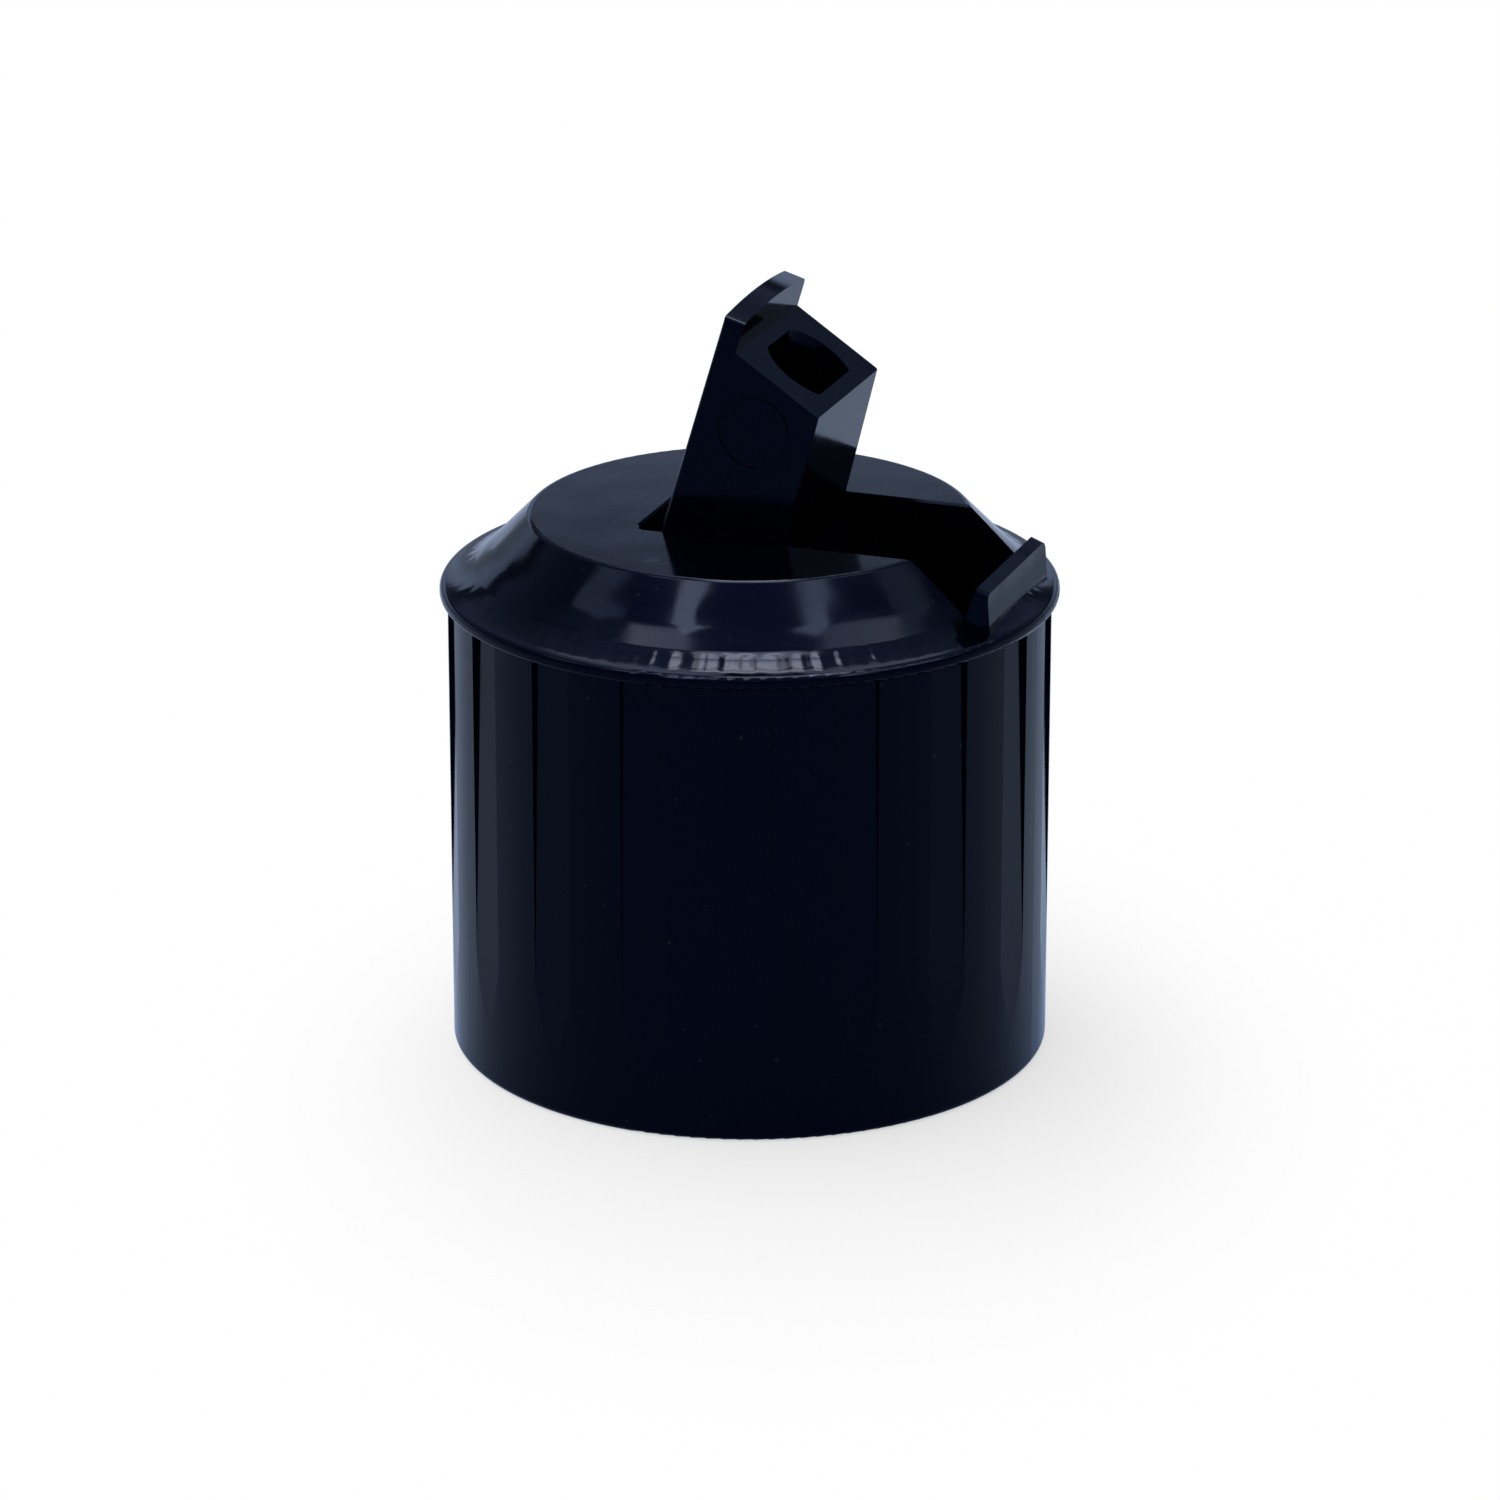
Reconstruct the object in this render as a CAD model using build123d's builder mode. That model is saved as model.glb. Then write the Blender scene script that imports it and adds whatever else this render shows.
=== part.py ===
from build123d import *
import os
from math import atan, cos, hypot, pi, radians, sin, tan

# A turret dispensing cap for a 28 mm bottle neck, shown with its pouring spout swung up.
# The closure body screws on the neck, and the spout turns in a slot across its top, on two trunnions.
# Millimetres. +Z is up and +X is the way the slot opens. The origin is on the cap's axis, at its base.

# Bore that takes the bottle neck
thread_radius = 13.95
thread_length = 13.5
lead_in = 0.4
upper_bore_step = 0.55
lip_stop_height = 17.8

# Skirt, brim and shoulder
skirt_wall = 1.55
skirt_height = 24.2
base_round = 0.35
brim_overhang = 0.4
brim_edge_height = 0.6
brim_under_round = 0.18
brim_top_round = 0.38
ledge_width = 0.85
ledge_rise = 0.2
ledge_flat = 0.08
shoulder_run = 3.35
body_height = 28.4
top_edge_round = 0.35
top_wall = 1.3

# How far ribs and the plug run into their walls, and how far cutting shapes run past what they cut
root_overlap = 0.35
cut_overrun = 1.0

# Grip flutes, deepest under the brim and running out before the base
flute_count = 18
flute_width = 2.4
flute_depth = 0.3
flute_foot_height = 3.5

# Plug seal and the ribs that stop the neck's lip
plug_outer_radius = 10.4
plug_wall = 0.65
plug_bead = 0.45
plug_length = 3.8
plug_bead_rise = 1.2
plug_lead = 0.25
rib_count = 12
rib_thickness = 1.0

# Spout arm
arm_width = 9.2
arm_root_depth = 6.5
arm_taper = 2.6
arm_edge_round = 0.18
heel_radius = 4.2
rest_angle = 73.4
tab_thickness = 1.1
tab_overhang = 1.2
tab_bow = 0.35
tab_corner_round = 0.4
mouth_slant = 17.6

# Passage through the spout: each section is flat above and below, and its sides bulge out to the belly width
mouth_wall = 0.65
mouth_height = 3.5
mouth_top_width = 3.3
mouth_belly_width = 6.1
mouth_bottom_width = 5.0
throat_distance = 3.0
throat_width = 2.0
throat_belly_width = 2.8
port_radius = 1.3

# Round mark on each cheek of the spout
mark_radius = 1.95
mark_line = 0.22
mark_depth = 0.08
mark_distance = 10.1
mark_offset = 1.0

# Trunnions
trunnion_radius = 1.6
trunnion_height = 0.6

# Slot, its walls and the upstand at its outer end
slot_wall = 1.15
slot_corner_round = 0.7
slot_edge_bevel = 0.12
upstand_inset = 0.95
upstand_thickness = 0.65
upstand_lean = 0.2
upstand_fall = 0.25
upstand_corner_round = 0.4

# Clearances between the spout and the body
cheek_clearance = 0.12
seat_clearance = 0.1
trunnion_clearance = 0.08
back_clearance = 0.3
floor_clearance = 0.3
mouth_clearance = 0.1
tab_clearance = 0.1

# Sizes that follow from those above
skirt_radius = thread_radius + skirt_wall
brim_radius = skirt_radius + brim_overhang
brim_top = skirt_height + brim_edge_height
cone_foot_radius = skirt_radius - ledge_width
cone_foot_height = brim_top + ledge_rise
top_radius = cone_foot_radius - shoulder_run
cone_angle = atan((body_height - cone_foot_height) / shoulder_run)
ledge_angle = atan(ledge_rise / (brim_radius - cone_foot_radius))
ledge_length = hypot(brim_radius - cone_foot_radius, ledge_rise)
brim_round_run = brim_top_round * tan((pi / 2 - ledge_angle) / 2)
shoulder_blend = ledge_length - brim_round_run - ledge_flat
shoulder_fillet = shoulder_blend / tan(abs(cone_angle - ledge_angle) / 2)
upper_bore_radius = thread_radius - upper_bore_step
ceiling_height = body_height - top_wall
ceiling_radius = top_radius - top_wall * tan(cone_angle / 2)
eaves_height = ceiling_height - (upper_bore_radius - ceiling_radius) * tan(cone_angle)
plug_inner_radius = plug_outer_radius - plug_wall
plug_bottom = lip_stop_height - plug_length

pivot_height = body_height - heel_radius
slant = tan(radians(mouth_slant))
tab_under = heel_radius - tab_thickness
upstand_top = body_height - tab_thickness - tab_clearance
upstand_outer_x = skirt_radius - upstand_inset
upstand_inner_x = upstand_outer_x - upstand_lean - upstand_thickness
mouth_back_reach = upstand_inner_x - mouth_clearance - slant * (upstand_top - pivot_height - tab_under)
tab_reach = upstand_outer_x - upstand_lean + tab_overhang

slot_half_width = arm_width / 2 + cheek_clearance
slot_back_x = -heel_radius - back_clearance
seat_radius = heel_radius + seat_clearance
slot_floor = pivot_height + heel_radius - arm_root_depth - floor_clearance
trough_half_width = slot_half_width + slot_wall
trunnion_ball = (trunnion_radius**2 + trunnion_height**2) / (2 * trunnion_height)
trunnion_centre = arm_width / 2 + trunnion_height - trunnion_ball


def slot_end_x(height):
    """Where the slot's leaning end face stands at a height."""
    return upstand_inner_x - slant * (upstand_top - height)


def underside(reach):
    """Height of the arm's underside above the pivot, at a distance along the arm."""
    return heel_radius - arm_root_depth + (reach - heel_radius) * tan(radians(arm_taper))


# Outer form of the closure body, solid
with BuildPart() as envelope:
    with BuildSketch(Plane.XZ):
        with BuildLine():
            FilletPolyline(
                (0, 0),
                (skirt_radius, 0),
                (skirt_radius, skirt_height),
                (brim_radius, skirt_height),
                (brim_radius, brim_top),
                (cone_foot_radius, cone_foot_height),
                (top_radius, body_height),
                (0, body_height),
                radius=(base_round, 0, brim_under_round, brim_top_round, shoulder_fillet, top_edge_round),
            )
            Line((0, body_height), (0, 0))
        make_face()
    revolve(axis=Axis.Z)

# One grip flute, a wedge that is deepest under the brim
with BuildPart() as flute:
    with BuildSketch(Plane.XZ):
        with BuildLine():
            Polyline(
                (skirt_radius - flute_depth, skirt_height),
                (skirt_radius, flute_foot_height),
                (brim_radius + cut_overrun, flute_foot_height),
                (brim_radius + cut_overrun, skirt_height),
                close=True,
            )
        make_face()
    extrude(amount=flute_width / 2, both=True)

# Space inside the body, before the plug, ribs and trough go in
with BuildPart() as cavity:
    with BuildSketch(Plane.XZ):
        with BuildLine():
            Polyline(
                (0, 0),
                (thread_radius + lead_in, 0),
                (thread_radius, lead_in),
                (thread_radius, thread_length),
                (upper_bore_radius, thread_length + upper_bore_step),
                (upper_bore_radius, eaves_height),
                (ceiling_radius, ceiling_height),
                (0, ceiling_height),
                close=True,
            )
        make_face()
    revolve(axis=Axis.Z)

# One radial rib: its lower edge stops the neck's lip
with BuildPart() as stop_rib:
    with BuildSketch(Plane.XZ):
        with BuildLine():
            Polyline(
                (plug_outer_radius - root_overlap, lip_stop_height),
                (upper_bore_radius + root_overlap, lip_stop_height),
                (upper_bore_radius + root_overlap, eaves_height),
                (ceiling_radius, ceiling_height + root_overlap),
                (plug_outer_radius - root_overlap, ceiling_height + root_overlap),
                close=True,
            )
        make_face()
    extrude(amount=rib_thickness / 2, both=True)

# Trough that carries the spout: a walled box under the slot, with a half-round seat for the heel
with BuildPart() as trough:
    with BuildSketch(Plane.XZ):
        with BuildLine():
            Polyline(
                (slot_back_x - slot_wall, body_height),
                (slot_back_x - slot_wall, pivot_height),
                (0, pivot_height),
                (0, slot_floor - slot_wall),
                (upper_bore_radius, slot_floor - slot_wall),
                (upper_bore_radius, body_height),
                close=True,
            )
        make_face()
        with Locations((0, pivot_height)):
            Circle(seat_radius + slot_wall)
    extrude(amount=trough_half_width, both=True)
    add(envelope.part, mode=Mode.INTERSECT)

# Upstand at the slot's outer end, which covers the mouth when the spout is down
with BuildPart() as upstand:
    with BuildSketch(Plane.XZ):
        with BuildLine():
            Polyline(
                (slot_end_x(skirt_height), skirt_height),
                (upstand_outer_x, skirt_height),
                (upstand_outer_x - upstand_lean, upstand_top - upstand_fall),
                (upstand_inner_x, upstand_top),
                close=True,
            )
        make_face()
    extrude(amount=slot_half_width, both=True)
    rim_face = upstand.faces().filter_by(Axis.Y, reverse=True).sort_by(Axis.Z)[-1]
    fillet(rim_face.edges().filter_by(Axis.Y, reverse=True), upstand_corner_round)

# Space that the spout swings in, bevelled where it meets the top
with BuildPart() as slot_space:
    with BuildSketch(Plane.XZ):
        with BuildLine():
            Polyline(
                (slot_back_x, body_height + cut_overrun),
                (slot_back_x, pivot_height),
                (0, pivot_height),
                (0, slot_floor),
                (slot_end_x(slot_floor), slot_floor),
                (slot_end_x(body_height + cut_overrun), body_height + cut_overrun),
                close=True,
            )
        make_face()
    extrude(amount=slot_half_width, both=True)
    fillet(slot_space.edges().filter_by(Axis.Z).group_by(Axis.X)[0], slot_corner_round)
    with BuildSketch(Plane.XY.offset(body_height - slot_edge_bevel)) as slot_rim:
        with Locations((slot_back_x, 0)):
            Rectangle(skirt_radius - slot_back_x, 2 * slot_half_width, align=(Align.MIN, Align.CENTER))
        fillet(slot_rim.vertices().group_by(Axis.X)[0], slot_corner_round)
    extrude(amount=slot_edge_bevel + cut_overrun, taper=-45)
    with Locations((0, 0, pivot_height)):
        Cylinder(seat_radius, 2 * slot_half_width, rotation=(90, 0, 0))
    with Locations((0, trunnion_centre, pivot_height), (0, -trunnion_centre, pivot_height)):
        Sphere(trunnion_ball + trunnion_clearance)

# Closure body
with BuildPart() as closure_body:
    add(envelope.part)
    with PolarLocations(0, flute_count, start_angle=180 / flute_count):
        add(flute.part, mode=Mode.SUBTRACT)
    add(cavity.part, mode=Mode.SUBTRACT)
    with BuildSketch(Plane.XZ):
        with BuildLine():
            Polyline(
                (plug_inner_radius, plug_bottom),
                (plug_outer_radius - plug_lead, plug_bottom),
                (plug_outer_radius + plug_bead, plug_bottom + plug_bead_rise),
                (plug_outer_radius, plug_bottom + 2 * plug_bead_rise),
                (plug_outer_radius, ceiling_height + root_overlap),
                (plug_inner_radius, ceiling_height + root_overlap),
                close=True,
            )
        make_face()
    revolve(axis=Axis.Z)
    with PolarLocations(0, rib_count, start_angle=180 / rib_count):
        add(stop_rib.part)
    add(trough.part)
    add(upstand.part)
    add(slot_space.part, mode=Mode.SUBTRACT)
    with BuildSketch(Plane.XY.offset(lip_stop_height)):
        Circle(port_radius)
    extrude(amount=pivot_height - lip_stop_height, mode=Mode.SUBTRACT)

# Spout, drawn along its arm from the pivot: the heel turns in the seat, and the thumb lifts the tab
tilt = radians(rest_angle)
pivot = Vector(0, 0, pivot_height)
arm_plane = Plane(origin=pivot, x_dir=(cos(tilt), 0, sin(tilt)), z_dir=(0, -1, 0))
mouth_front_reach = mouth_back_reach - slant * (tab_under - underside(mouth_back_reach))
mouth_middle = tab_under - mouth_wall - mouth_height / 2


def section_plane(reach, offset, turn=0):
    """A plane across the arm: distance from the pivot, height of its middle, turn towards the top side."""
    middle = pivot + arm_plane.x_dir * reach + arm_plane.y_dir * offset
    facing = arm_plane.x_dir * cos(radians(turn)) + arm_plane.y_dir * sin(radians(turn))
    return Plane(origin=middle, x_dir=(0, 1, 0), z_dir=facing)


def passage_outline(height, top_width, belly_width, bottom_width):
    """The passage's section: flat above and below, with sides that bulge out."""
    Line((-top_width / 2, height / 2), (top_width / 2, height / 2))
    ThreePointArc((top_width / 2, height / 2), (belly_width / 2, 0), (bottom_width / 2, -height / 2))
    Line((bottom_width / 2, -height / 2), (-bottom_width / 2, -height / 2))
    ThreePointArc((-bottom_width / 2, -height / 2), (-belly_width / 2, 0), (-top_width / 2, height / 2))


with BuildPart() as passage:
    with BuildSketch(section_plane(mouth_back_reach + tab_thickness / 2, mouth_middle)):
        with BuildLine():
            passage_outline(mouth_height, mouth_top_width, mouth_belly_width, mouth_bottom_width)
        make_face()
    with BuildSketch(section_plane(throat_distance, 0)):
        with BuildLine():
            passage_outline(2 * port_radius, throat_width, throat_belly_width, throat_width)
        make_face()
    loft()
    with BuildSketch(section_plane(throat_distance, 0)):
        Circle(port_radius)
    extrude(amount=-throat_distance - heel_radius - cut_overrun)

# Arm of the spout: its side view, trimmed to its plan and to two cross-sections that round its long edges
with BuildPart() as arm:
    with BuildSketch(arm_plane):
        with BuildLine():
            Polyline(
                (0, heel_radius),
                (tab_reach, heel_radius),
                (tab_reach, tab_under),
                (mouth_back_reach, tab_under),
                (mouth_front_reach, underside(mouth_front_reach)),
                (0, underside(0)),
                close=True,
            )
        make_face()
    extrude(amount=arm_width / 2, both=True)
    with BuildSketch(Plane(origin=pivot, x_dir=arm_plane.x_dir, z_dir=arm_plane.y_dir)) as arm_plan:
        with BuildLine():
            ThreePointArc(
                (tab_reach - tab_bow, -arm_width / 2),
                (tab_reach, 0),
                (tab_reach - tab_bow, arm_width / 2),
            )
            Polyline(
                (tab_reach - tab_bow, arm_width / 2),
                (-cut_overrun, arm_width / 2),
                (-cut_overrun, -arm_width / 2),
                (tab_reach - tab_bow, -arm_width / 2),
            )
        make_face()
        fillet(arm_plan.vertices().group_by(Axis.X)[-1], tab_corner_round)
    extrude(amount=arm_root_depth + cut_overrun, both=True, mode=Mode.INTERSECT)
    with BuildSketch(section_plane(-cut_overrun, 0)):
        RectangleRounded(arm_width, 2 * heel_radius, arm_edge_round)
    extrude(amount=tab_reach + 2 * cut_overrun, mode=Mode.INTERSECT)
    with BuildSketch(section_plane(-cut_overrun, underside(-cut_overrun) + arm_root_depth, arm_taper)):
        RectangleRounded(arm_width, 2 * arm_root_depth, arm_edge_round)
    extrude(amount=tab_reach + 2 * cut_overrun, mode=Mode.INTERSECT)

with BuildPart() as spout:
    add(arm.part)
    with Locations(pivot):
        Cylinder(heel_radius, arm_width, rotation=(90, 0, 0))
    with Locations((0, trunnion_centre, pivot_height), (0, -trunnion_centre, pivot_height)):
        Sphere(trunnion_ball)
    add(passage.part, mode=Mode.SUBTRACT)
    for side in (1, -1):
        with BuildSketch(arm_plane.offset(side * arm_width / 2)):
            with Locations((mark_distance, mark_offset)):
                Circle(mark_radius)
                Circle(mark_radius - mark_line, mode=Mode.SUBTRACT)
        extrude(amount=-side * mark_depth, mode=Mode.SUBTRACT)

closure_body.part.label = "closure_body"
spout.part.label = "spout"

os.makedirs("parts", exist_ok=True)
export_step(closure_body.part, "parts/closure_body.step")
export_step(spout.part, "parts/spout.step")
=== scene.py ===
import math

import bpy
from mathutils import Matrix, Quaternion, Vector


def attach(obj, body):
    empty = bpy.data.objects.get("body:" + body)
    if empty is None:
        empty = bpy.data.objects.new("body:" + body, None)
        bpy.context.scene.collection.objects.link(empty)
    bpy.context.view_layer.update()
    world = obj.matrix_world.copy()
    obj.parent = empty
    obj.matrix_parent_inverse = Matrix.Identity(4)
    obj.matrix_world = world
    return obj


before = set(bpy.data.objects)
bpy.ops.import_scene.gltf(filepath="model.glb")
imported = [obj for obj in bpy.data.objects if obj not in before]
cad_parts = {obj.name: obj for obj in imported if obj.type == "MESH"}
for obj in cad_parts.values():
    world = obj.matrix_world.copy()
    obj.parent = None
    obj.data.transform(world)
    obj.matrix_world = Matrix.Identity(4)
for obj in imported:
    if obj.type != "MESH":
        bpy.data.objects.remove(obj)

scene = bpy.context.scene
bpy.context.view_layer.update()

MM = 0.001
WHITE = (1, 1, 1, 1)

# Bottle thread, in millimetres: the bore's radius is the CAD part's, and the thread stays below THREAD_TOP
BORE_RADIUS = 13.95
THREAD_TOP = 13.3
THREAD_TOP_GAP = 1.2
THREAD_PITCH = 4.23
THREAD_TURNS = 1.55
THREAD_DEPTH = 1.1
THREAD_HALF_FOOT = 1.15
THREAD_HALF_CREST = 0.38
THREAD_CHAMFER = 0.12
THREAD_ROOT_OVERLAP = 0.12
THREAD_FADE = math.radians(28)
THREAD_STEPS = 420
THREAD_SHARP_ANGLE = math.radians(35)

# The plastic reflects little, and its faint sheen is bluish where it is seen straight on
PLASTIC_IOR = 1.5
SHEEN_LEVEL = 0.08
SHEEN_TINT = (0.3, 0.44, 1.0, 1.0)
BODY_ROUGHNESS = 0.12
SPOUT_ROUGHNESS = 0.11

# Texture of the plastic: noise scales are per metre, depths in metres, ranges are shares of the noise
PIGMENT_DARK = (0.0002, 0.0004, 0.0016, 1)
PIGMENT_LIGHT = (0.0003, 0.0006, 0.0022, 1)
FLOW_SCALE, FLOW_STRETCH, FLOW_RANGE = 120, (1, 1, 0.35), (0.35, 0.7)
DUST_SCALE, DUST_RANGE, DUST_SHARE = 2600, (0.84, 0.87), 0.012
DUST_COLOUR = (0.45, 0.46, 0.48, 1)
PATCH_SCALE, PATCH_RANGE = 180, (0.35, 0.75)
PATCH_SMOOTHER, PATCH_ROUGHER = 0.03, 0.05
SCRATCH_SCALE, SCRATCH_STRETCH, SCRATCH_RANGE = 900, (1, 1, 0.06), (0.72, 0.8)
SCRATCH_ROUGHER = 0.08
WAVE_SCALE, WAVE_DEPTH, WAVE_STRENGTH = 210, 0.00003, 0.25
GRAIN_SCALE, GRAIN_DEPTH, GRAIN_STRENGTH = 5200, 0.000002, 0.5

# Marks of the mould on the shoulder: heights and depths in metres, angles about the cap's axis in radians
DRAG_ANGLE = math.radians(-70)
DRAG_COSINES = (0.74, 0.93)
DRAG_FAINT = 0.2
DRAG_PER_RADIAN = 19
DRAG_DETAIL = 0.5
DRAG_LOW, DRAG_HIGH, DRAG_SOFTEN = 0.02497, 0.02545, 0.00015
DRAG_DEPTH = 0.00009
FOOT_LOW, FOOT_HIGH = 0.025, 0.0266
FOOT_DEPTH = 0.00015
RIBS = 12
RIB_ANGLE = math.radians(15)
SINK_COSINES = (-0.3, 1)
SINK_LOW, SINK_HIGH, SINK_SOFTEN = 0.0264, 0.0274, 0.0006
SINK_DEPTH = 0.00003

# Floor, in metres: white paper that keeps about half of the shadow, in an oval that reaches to the front
FLOOR_SIZE = 6
FLOOR_COLOUR = (0.94, 0.94, 0.94, 1)
OVAL_CENTRE = (0.005, -0.0078, 0)
OVAL_TURN = math.radians(20)
OVAL_SIZE = (0.0235, 0.036, 1)
OVAL_FADE = (0.6, 1.3)
GLOW_NEAR, GLOW_FAR = 0.55, 0.97
GLOW_IN_GLOSS = 0.55
# In reflections the floor glows this cool blue instead of white: painted light that tints the plastic's
# reflection of the floor
COOL_GLOW = (0.19, 0.43, 0.92, 1)

# World: a plain grey room, lighter on its window side, and a cool backdrop for the reflections
ROOM_DARK = (0.42, 0.42, 0.42, 1)
ROOM_LIGHT = (1.73, 1.73, 1.73, 1)
WINDOW_SIDE = (-0.97, 0.243, 0)
BACKDROP_FOOT = (0.3, 0.37, 0.52, 1)
BACKDROP_LOW = (0.7, 0.9, 1.36, 1)
BACKDROP_DIP = (0.03, 0.04, 0.08, 1)
BACKDROP_MID = (0.2, 0.27, 0.5, 1)
BACKDROP_HIGH = (0.95, 1.25, 1.9, 1)
# Each step blends into its colour between two heights of a direction, where 0 is level and 1 straight up
BACKDROP_STEPS = (
    (0.1, 0.22, BACKDROP_LOW),
    (0.292, 0.309, BACKDROP_DIP),
    (0.36, 0.415, BACKDROP_MID),
    (0.65, 0.95, BACKDROP_HIGH),
)

# Camera, fitted to the photograph: angles in degrees, distances in metres, lens in millimetres
CAMERA_AZIMUTH = 20.05
CAMERA_ELEVATION = 19.98
CAMERA_DISTANCE = 0.3498
CAMERA_TARGET = Vector((0, 0, 0.01431))
CAMERA_LENS = 162.05
CAMERA_SENSOR = 36
CAMERA_SHIFT = (0.0002, 0.01333)
CAMERA_CLIP = (0.01, 20)

LAMP_TARGET = Vector((0, 0, 0.02))


# Small helpers for shader nodes
def node(tree, kind, **settings):
    """A new shader node with the given settings."""
    made = tree.nodes.new(kind)
    for key, value in settings.items():
        setattr(made, key, value)
    return made


def noise(tree, coords, scale, detail, stretch=None):
    """Noise over object coordinates in metres; stretch scales the axes first."""
    source = coords
    if stretch is not None:
        mapping = node(tree, "ShaderNodeMapping")
        mapping.inputs["Scale"].default_value = stretch
        tree.links.new(coords, mapping.inputs["Vector"])
        source = mapping.outputs["Vector"]
    made = node(tree, "ShaderNodeTexNoise")
    made.inputs["Scale"].default_value = scale
    made.inputs["Detail"].default_value = detail
    tree.links.new(source, made.inputs["Vector"])
    return made.outputs["Fac"]


def remap(tree, value, low, high, to_low=0, to_high=1, smooth=False):
    """A value moved from one range to another, clamped at its ends and, if wanted, eased there."""
    made = node(tree, "ShaderNodeMapRange")
    if smooth:
        made.interpolation_type = "SMOOTHSTEP"
    for key, number in (("From Min", low), ("From Max", high), ("To Min", to_low), ("To Max", to_high)):
        made.inputs[key].default_value = number
    tree.links.new(value, made.inputs["Value"])
    return made.outputs["Result"]


def math_node(tree, operation, a, b=0):
    """A sum, product or function of numbers or sockets."""
    made = node(tree, "ShaderNodeMath", operation=operation)
    for socket, value in zip(made.inputs, (a, b)):
        if isinstance(value, (int, float)):
            socket.default_value = value
        else:
            tree.links.new(value, socket)
    return made.outputs["Value"]


def blend_colours(tree, factor, low, high):
    """A colour mix; low and high are colours or sockets."""
    made = node(tree, "ShaderNodeMix", data_type="RGBA")
    for key, colour in (("A", low), ("B", high)):
        if isinstance(colour, tuple):
            made.inputs[key].default_value = colour
        else:
            tree.links.new(colour, made.inputs[key])
    tree.links.new(factor, made.inputs["Factor"])
    return made.outputs["Result"]


def bump(tree, height, distance, normal=None, strength=1):
    """A normal raised by a height, over another normal if one is given."""
    made = node(tree, "ShaderNodeBump")
    made.inputs["Strength"].default_value = strength
    made.inputs["Distance"].default_value = distance
    tree.links.new(height, made.inputs["Height"])
    if normal is not None:
        tree.links.new(normal, made.inputs["Normal"])
    return made.outputs["Normal"]


def band(tree, value, low, high, soften):
    """1 between two values, falling smoothly to 0 outside them."""
    rise = remap(tree, value, low - soften, low + soften, smooth=True)
    fall = remap(tree, value, high - soften, high + soften, 1, 0, smooth=True)
    return math_node(tree, "MULTIPLY", rise, fall)


def outward(azimuth, elevation):
    """Direction out from the cap, in degrees; azimuth 0 is the front (-Y), positive towards +X."""
    turn, rise = math.radians(azimuth), math.radians(elevation)
    return Vector((math.sin(turn) * math.cos(rise), -math.cos(turn) * math.cos(rise), math.sin(rise)))


# Materials of the two mouldings
def plastic(name, roughness):
    """Satin moulded polypropylene: near-black pigment with faint flow marks, scuffs and a little dust."""
    material = bpy.data.materials.new(name)
    material.use_nodes = True
    tree = material.node_tree
    shader = tree.nodes["Principled BSDF"]
    shader.inputs["IOR"].default_value = PLASTIC_IOR
    shader.inputs["Specular IOR Level"].default_value = SHEEN_LEVEL
    shader.inputs["Specular Tint"].default_value = SHEEN_TINT
    coords = node(tree, "ShaderNodeTexCoord").outputs["Object"]

    # Pigment streaks that follow the flow of the moulding
    streaks = noise(tree, coords, FLOW_SCALE, detail=3, stretch=FLOW_STRETCH)
    tone = blend_colours(tree, remap(tree, streaks, *FLOW_RANGE), PIGMENT_DARK, PIGMENT_LIGHT)
    # Sparse dust: only the peaks of a fine noise
    dust = remap(tree, noise(tree, coords, DUST_SCALE, detail=0), *DUST_RANGE, 0, DUST_SHARE)
    tree.links.new(blend_colours(tree, dust, tone, DUST_COLOUR), shader.inputs["Base Color"])

    # Handling marks: fine scratches and duller patches
    smoothest, roughest = roughness - PATCH_SMOOTHER, roughness + PATCH_ROUGHER
    patches = remap(tree, noise(tree, coords, PATCH_SCALE, detail=4), *PATCH_RANGE, smoothest, roughest)
    scratched = noise(tree, coords, SCRATCH_SCALE, detail=1, stretch=SCRATCH_STRETCH)
    scratches = remap(tree, scratched, *SCRATCH_RANGE, 0, SCRATCH_ROUGHER)
    tree.links.new(math_node(tree, "ADD", patches, scratches), shader.inputs["Roughness"])

    # Moulded surface: slight waves under a fine grain
    waves = bump(tree, noise(tree, coords, WAVE_SCALE, detail=1), WAVE_DEPTH, strength=WAVE_STRENGTH)
    grain = bump(tree, noise(tree, coords, GRAIN_SCALE, detail=2), GRAIN_DEPTH, waves, GRAIN_STRENGTH)
    tree.links.new(grain, shader.inputs["Normal"])
    return material


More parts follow.
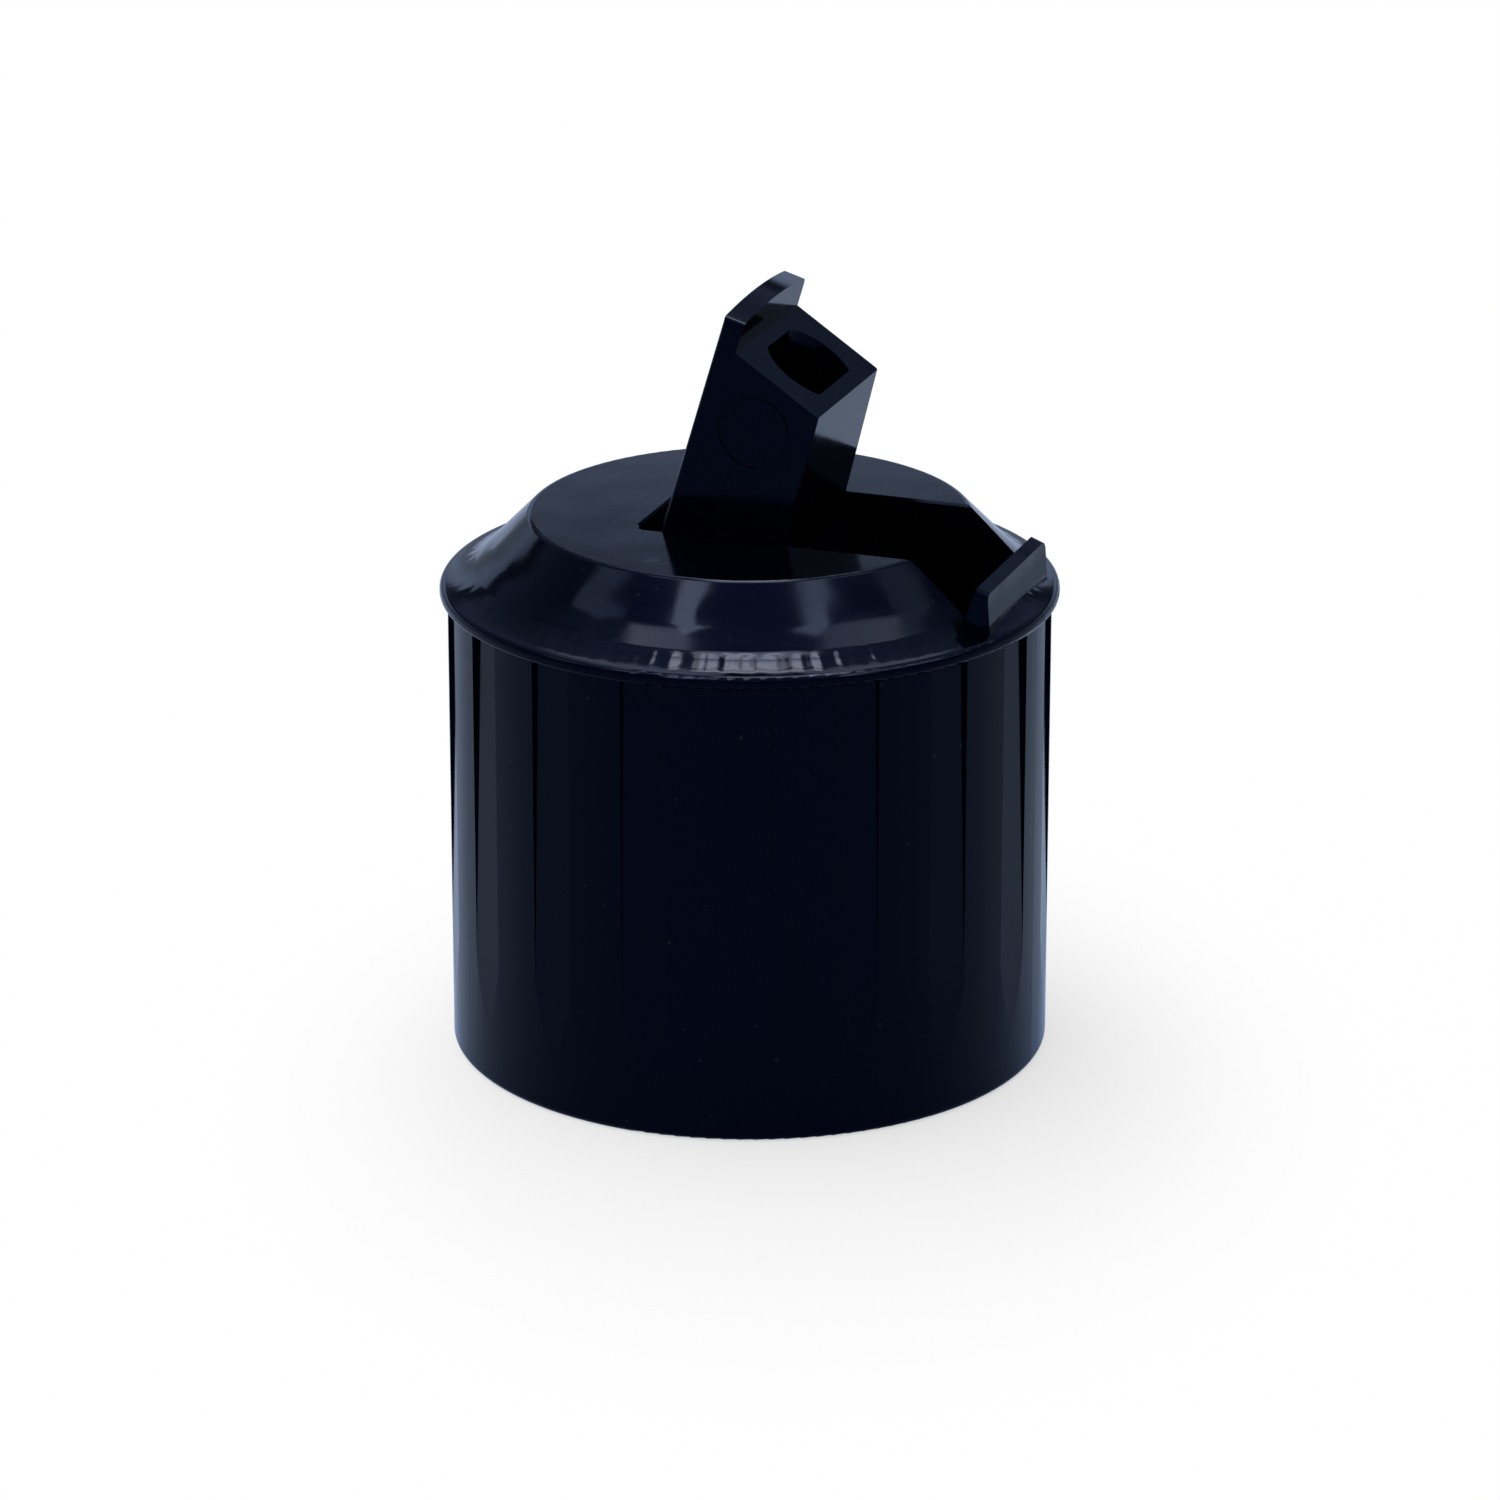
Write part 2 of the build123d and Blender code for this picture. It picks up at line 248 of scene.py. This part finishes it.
def mould_marks(material):
    """Drag lines and a soft run-out at the shoulder's foot, and shallow sinks over the ribs inside."""
    tree = material.node_tree
    shader = tree.nodes["Principled BSDF"]
    split = node(tree, "ShaderNodeSeparateXYZ")
    tree.links.new(node(tree, "ShaderNodeTexCoord").outputs["Object"], split.inputs["Vector"])
    angle = math_node(tree, "ARCTAN2", split.outputs["Y"], split.outputs["X"])
    height = split.outputs["Z"]
    surface = shader.inputs["Normal"].links[0].from_socket

    # Fine radial drag lines, deepest in one sector and faint round the rest
    lines = node(tree, "ShaderNodeTexNoise", noise_dimensions="1D")
    lines.inputs["Scale"].default_value = DRAG_PER_RADIAN
    lines.inputs["Detail"].default_value = DRAG_DETAIL
    tree.links.new(angle, lines.inputs["W"])
    off_sector = math_node(tree, "COSINE", math_node(tree, "SUBTRACT", angle, DRAG_ANGLE))
    sector = remap(tree, off_sector, *DRAG_COSINES, DRAG_FAINT, 1)
    deep = math_node(tree, "MULTIPLY", band(tree, height, DRAG_LOW, DRAG_HIGH, DRAG_SOFTEN), sector)
    surface = bump(tree, math_node(tree, "MULTIPLY", deep, lines.outputs["Fac"]), DRAG_DEPTH, surface)

    # The cone runs out softly into the curve at its foot
    run_out = remap(tree, height, FOOT_LOW, FOOT_HIGH, 1, 0, smooth=True)
    surface = bump(tree, run_out, FOOT_DEPTH, surface)

    # One sink over each rib
    turned = math_node(tree, "MULTIPLY", math_node(tree, "SUBTRACT", angle, RIB_ANGLE), RIBS)
    over_rib = remap(tree, math_node(tree, "COSINE", turned), *SINK_COSINES, smooth=True)
    sink = math_node(tree, "MULTIPLY", over_rib, band(tree, height, SINK_LOW, SINK_HIGH, SINK_SOFTEN))
    surface = bump(tree, math_node(tree, "MULTIPLY", sink, -1), SINK_DEPTH, surface)
    tree.links.new(surface, shader.inputs["Normal"])


body_plastic = plastic("body_plastic", BODY_ROUGHNESS)
spout_plastic = plastic("spout_plastic", SPOUT_ROUGHNESS)
mould_marks(body_plastic)

for name, material in (("closure_body", body_plastic), ("spout", spout_plastic)):
    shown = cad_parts[name]
    shown.data.materials.clear()
    shown.data.materials.append(material)


def thread_outline(height, share):
    """The ridge's outline as radii and heights; share is how much of its full depth it has there."""
    root = BORE_RADIUS + THREAD_ROOT_OVERLAP
    crest = BORE_RADIUS - THREAD_DEPTH * share
    edge = crest + THREAD_CHAMFER * share
    return [
        (root, height - THREAD_HALF_FOOT),
        (edge, height - THREAD_HALF_CREST),
        (crest, height - THREAD_HALF_CREST + THREAD_CHAMFER),
        (crest, height + THREAD_HALF_CREST - THREAD_CHAMFER),
        (edge, height + THREAD_HALF_CREST),
        (root, height + THREAD_HALF_FOOT),
    ]


def thread():
    """The bottle thread: one right-handed ridge on the bore's wall that fades in and out at its ends."""
    total = THREAD_TURNS * 2 * math.pi
    start_height = THREAD_TOP - THREAD_TOP_GAP - THREAD_TURNS * THREAD_PITCH
    verts, faces = [], []
    for step in range(THREAD_STEPS + 1):
        angle = total * step / THREAD_STEPS
        faded = min(1.0, angle / THREAD_FADE, (total - angle) / THREAD_FADE)
        share = math.sin(max(faded, 0.0) * math.pi / 2)
        outline = thread_outline(start_height + THREAD_PITCH * angle / (2 * math.pi), share)
        for radius, z in outline:
            verts.append((radius * math.cos(angle) * MM, radius * math.sin(angle) * MM, z * MM))
    corners = len(outline)
    for step in range(THREAD_STEPS):
        for corner in range(corners):
            a, b = step * corners + corner, step * corners + (corner + 1) % corners
            faces.append((a, b, b + corners, a + corners))
    faces.append(tuple(range(corners - 1, -1, -1)))
    faces.append(tuple(THREAD_STEPS * corners + corner for corner in range(corners)))
    mesh = bpy.data.meshes.new("bottle_thread")
    mesh.from_pydata(verts, [], faces)
    mesh.polygons.foreach_set("use_smooth", [True] * len(mesh.polygons))
    mesh.set_sharp_from_angle(angle=THREAD_SHARP_ANGLE)
    made = bpy.data.objects.new("bottle_thread", mesh)
    scene.collection.objects.link(made)
    made.data.materials.append(body_plastic)
    return made


ridge = thread()
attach(ridge, "cap")


def white_paper():
    """Matt paper under a white glow that hides the shadow far off and about half of it inside the oval."""
    paper = bpy.data.materials.new("floor_white")
    paper.use_nodes = True
    tree = paper.node_tree
    tree.nodes.clear()
    output = node(tree, "ShaderNodeOutputMaterial")
    diffuse = node(tree, "ShaderNodeBsdfDiffuse")
    diffuse.inputs["Color"].default_value = FLOOR_COLOUR
    glow = node(tree, "ShaderNodeEmission")
    rays = node(tree, "ShaderNodeLightPath").outputs
    # Glossy rays see the floor's painted cool glow, so the plastic reflects a bluish floor
    tree.links.new(blend_colours(tree, rays["Is Glossy Ray"], WHITE, COOL_GLOW), glow.inputs["Color"])

    # 0 at the oval's centre and 1 on its edge
    oval = node(tree, "ShaderNodeMapping", vector_type="TEXTURE")
    oval.inputs["Location"].default_value = OVAL_CENTRE
    oval.inputs["Rotation"].default_value = (0, 0, OVAL_TURN)
    oval.inputs["Scale"].default_value = OVAL_SIZE
    tree.links.new(node(tree, "ShaderNodeTexCoord").outputs["Object"], oval.inputs["Vector"])
    reach = node(tree, "ShaderNodeVectorMath", operation="LENGTH")
    tree.links.new(oval.outputs["Vector"], reach.inputs[0])

    # How much of the glow each kind of ray sees; a diffuse ray finds matt paper only
    whiteness = remap(tree, reach.outputs["Value"], *OVAL_FADE, GLOW_NEAR, GLOW_FAR, smooth=True)
    straight = math_node(tree, "MAXIMUM", rays["Is Camera Ray"], rays["Is Transmission Ray"])
    seen = math_node(tree, "MULTIPLY", straight, whiteness)
    mirrored = math_node(tree, "MULTIPLY", rays["Is Glossy Ray"], GLOW_IN_GLOSS)
    blend = node(tree, "ShaderNodeMixShader")
    tree.links.new(math_node(tree, "MAXIMUM", seen, mirrored), blend.inputs["Fac"])
    tree.links.new(diffuse.outputs["BSDF"], blend.inputs[1])
    tree.links.new(glow.outputs["Emission"], blend.inputs[2])
    tree.links.new(blend.outputs["Shader"], output.inputs["Surface"])
    return paper


bpy.ops.mesh.primitive_plane_add(size=FLOOR_SIZE, location=(0, 0, 0))
floor = bpy.context.object
floor.name = "floor"
floor.data.materials.append(white_paper())


def room_world():
    """The grey room that lights the object, and the backdrop that only its gloss shows."""
    world = bpy.data.worlds.new("room")
    world.use_nodes = True
    tree = world.node_tree
    direction = node(tree, "ShaderNodeTexCoord").outputs["Generated"]
    split = node(tree, "ShaderNodeSeparateXYZ")
    tree.links.new(direction, split.inputs["Vector"])
    backdrop = BACKDROP_FOOT
    for low, high, colour in BACKDROP_STEPS:
        backdrop = blend_colours(tree, remap(tree, split.outputs["Z"], low, high), backdrop, colour)

    facing = node(tree, "ShaderNodeVectorMath", operation="DOT_PRODUCT")
    facing.inputs[1].default_value = WINDOW_SIDE
    tree.links.new(direction, facing.inputs[0])
    room = blend_colours(tree, remap(tree, facing.outputs["Value"], -1, 1), ROOM_DARK, ROOM_LIGHT)
    glossy = node(tree, "ShaderNodeLightPath").outputs["Is Glossy Ray"]
    tree.links.new(blend_colours(tree, glossy, room, backdrop), tree.nodes["Background"].inputs["Color"])
    return world


scene.world = room_world()


def softbox(name, turn, elevation, distance, size, level, colour, roll=0):
    """A rectangular lamp that only the gloss shows; turn is its azimuth from the camera's, in degrees."""
    out = outward(CAMERA_AZIMUTH + turn, elevation)
    width, length = size
    lamp = bpy.data.lights.new(name, "AREA")
    lamp.shape = "RECTANGLE"
    lamp.size, lamp.size_y = width, length
    lamp.energy = level * width * length * math.pi
    lamp.color = colour
    made = bpy.data.objects.new(name, lamp)
    scene.collection.objects.link(made)
    made.location = LAMP_TARGET + out * distance
    aim = (-out).to_track_quat("-Z", "Y") @ Quaternion((0, 0, 1), math.radians(roll))
    made.rotation_euler = aim.to_euler()
    made.visible_diffuse = False


# Strips left and right above the camera, and a lamp beside each for the shoulder's foot
softbox("strip_left", -48, 64.5, 0.9, (0.13, 0.26), 24, (1, 0.84, 0.6))
softbox("strip_right", 53.5, 64.5, 0.9, (0.13, 0.26), 16, (1, 0.9, 0.68))
softbox("foot_left", -83, 69, 1.0, (0.28, 0.2), 14, (1, 0.86, 0.62), roll=47)
softbox("foot_right", 92, 64.5, 1.0, (0.36, 0.22), 7.5, (1, 0.9, 0.68), roll=-48)

# Lamps high up and behind
softbox("streak", 180, 69, 1.0, (0.2, 0.45), 15, (1, 0.92, 0.75))
softbox("overhead", 180, 82, 1.0, (0.34, 0.42), 17, (1, 0.9, 0.7))
softbox("back", 180, 50, 1.0, (0.4, 0.4), 2.6, (0.7, 0.8, 1))

# Fainter lamps at both sides
softbox("side_left", -96, 49, 1.0, (0.18, 0.2), 3.0, (0.9, 1, 0.9))
softbox("side_right", 100, 49, 1.0, (0.22, 0.24), 1.6, (0.9, 1, 1))

# Camera
back = outward(CAMERA_AZIMUTH, CAMERA_ELEVATION)
lens = bpy.data.cameras.new("camera")
lens.sensor_width = CAMERA_SENSOR
lens.lens = CAMERA_LENS
lens.shift_x, lens.shift_y = CAMERA_SHIFT
lens.clip_start, lens.clip_end = CAMERA_CLIP
camera = bpy.data.objects.new("camera", lens)
scene.collection.objects.link(camera)
camera.location = CAMERA_TARGET + back * CAMERA_DISTANCE
camera.rotation_euler = (-back).to_track_quat("-Z", "Y").to_euler()
scene.camera = camera
scene.view_settings.view_transform = "Standard"
